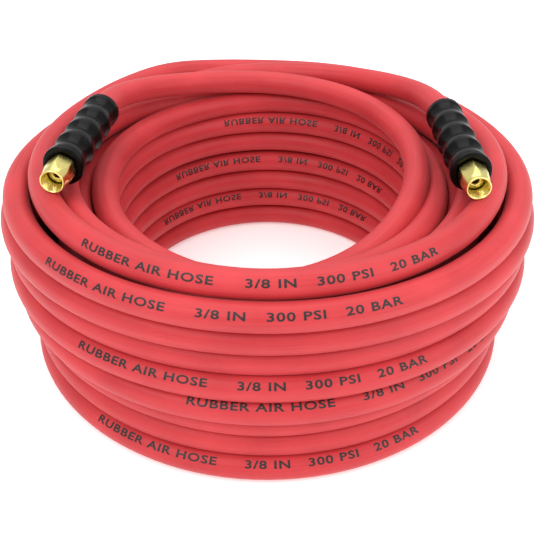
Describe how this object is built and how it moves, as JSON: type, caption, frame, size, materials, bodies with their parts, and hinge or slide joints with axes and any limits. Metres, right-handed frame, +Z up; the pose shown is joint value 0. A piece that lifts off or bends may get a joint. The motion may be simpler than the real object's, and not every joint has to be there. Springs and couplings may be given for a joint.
{
  "type": "coiled air hose",
  "caption": "Rubber air hose wound in a thick round coil, with a ribbed bend restrictor and a brass swivel nut on each end.",
  "frame": {"origin": "on the floor, under the middle of the coil", "axes": "+Z up along the coil's axis, -Y the way both open ends point, +X towards the right end"},
  "size_m": [0.354, 0.3538, 0.16],
  "materials": {
    "red_rubber": "satin",
    "liner_rubber": "matte",
    "braid_yarn": "woven",
    "black_rubber": "semi-gloss",
    "turned_brass": "bright",
    "crimped_brass": "satin",
    "spring_steel": "satin"
  },
  "bodies": {
    "hose": {"hose_coil": "red_rubber", "left_bend_restrictor": "black_rubber", "left_ferrule": "crimped_brass", "left_hose_stem": "turned_brass", "left_retaining_wire": "spring_steel", "left_hose_liner": "liner_rubber", "left_hose_braid": "braid_yarn", "left_hose_cover": "red_rubber", "right_bend_restrictor": "black_rubber", "right_ferrule": "crimped_brass", "right_hose_stem": "turned_brass", "right_retaining_wire": "spring_steel", "right_hose_liner": "liner_rubber", "right_hose_braid": "braid_yarn", "right_hose_cover": "red_rubber"},
    "left_nut": {"left_swivel_nut": "turned_brass"},
    "right_nut": {"right_swivel_nut": "turned_brass"}
  },
  "joints": [
    {"name": "left_nut_swivel", "type": "hinge", "parent": "hose", "child": "left_nut", "pos_m": [-0.1285, -0.071, 0.147], "axis": [-0.1323, -0.9912, 0], "continuous": true},
    {"name": "right_nut_swivel", "type": "hinge", "parent": "hose", "child": "right_nut", "pos_m": [0.1245, -0.079, 0.147], "axis": [0.0349, -0.9994, 0], "continuous": true}
  ]
}
